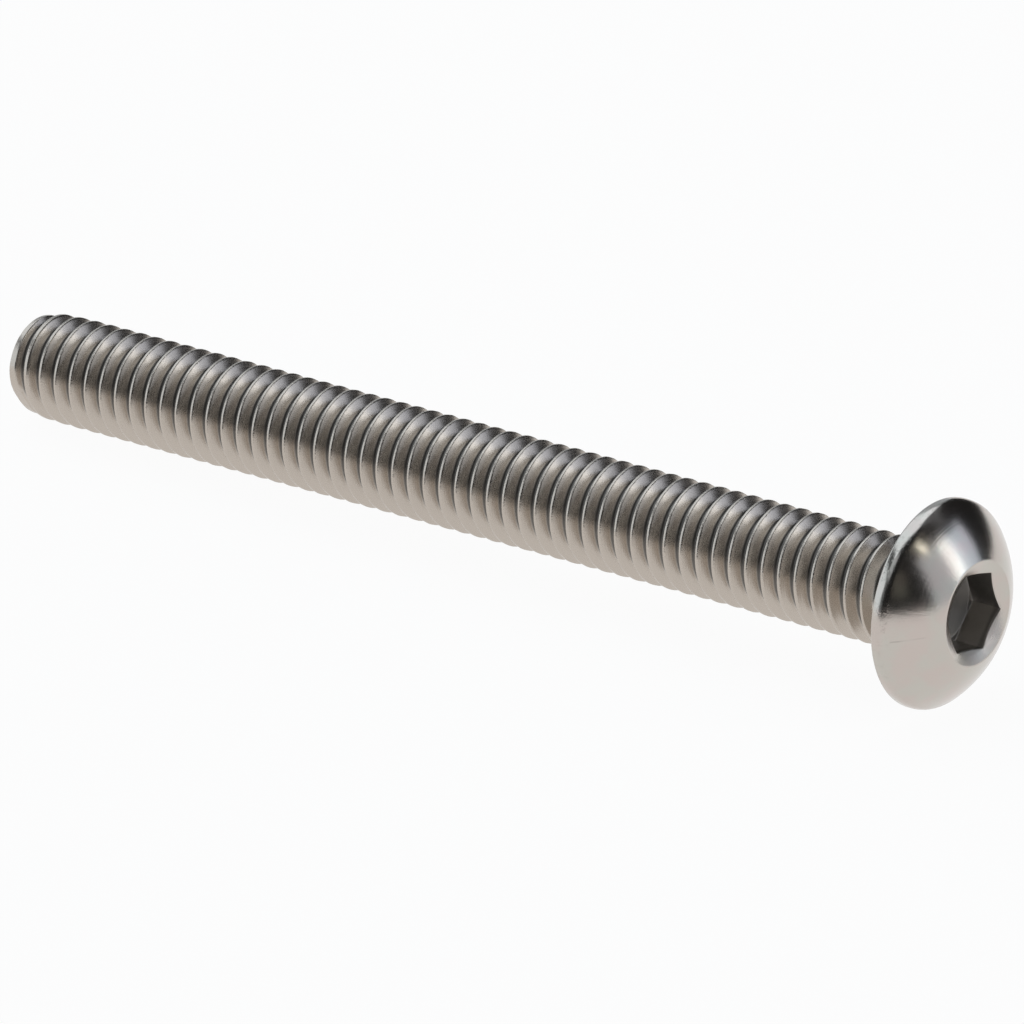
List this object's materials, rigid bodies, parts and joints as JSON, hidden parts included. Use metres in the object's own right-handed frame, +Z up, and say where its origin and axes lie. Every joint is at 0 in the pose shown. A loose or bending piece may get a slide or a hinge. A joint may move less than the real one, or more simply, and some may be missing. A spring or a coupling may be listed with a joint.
{
  "type": "button head screw",
  "caption": "Low domed screw head with a hexagonal socket on a long fully threaded shank, lying on its side.",
  "frame": {"origin": "on the floor, under the middle of the screw as it lies", "axes": "+Z up, the screw's axis in the XZ plane with the head at +X and the tip at -X, 2.59 degrees lower at the tip, +Y completes a right-handed frame"},
  "size_m": [0.0416, 0.0074, 0.0073],
  "materials": {
    "bright_steel": "bright rolled and tumbled stainless steel, polished on the head"
  },
  "bodies": {
    "root": {"button_head_screw": "bright_steel"}
  },
  "joints": []
}
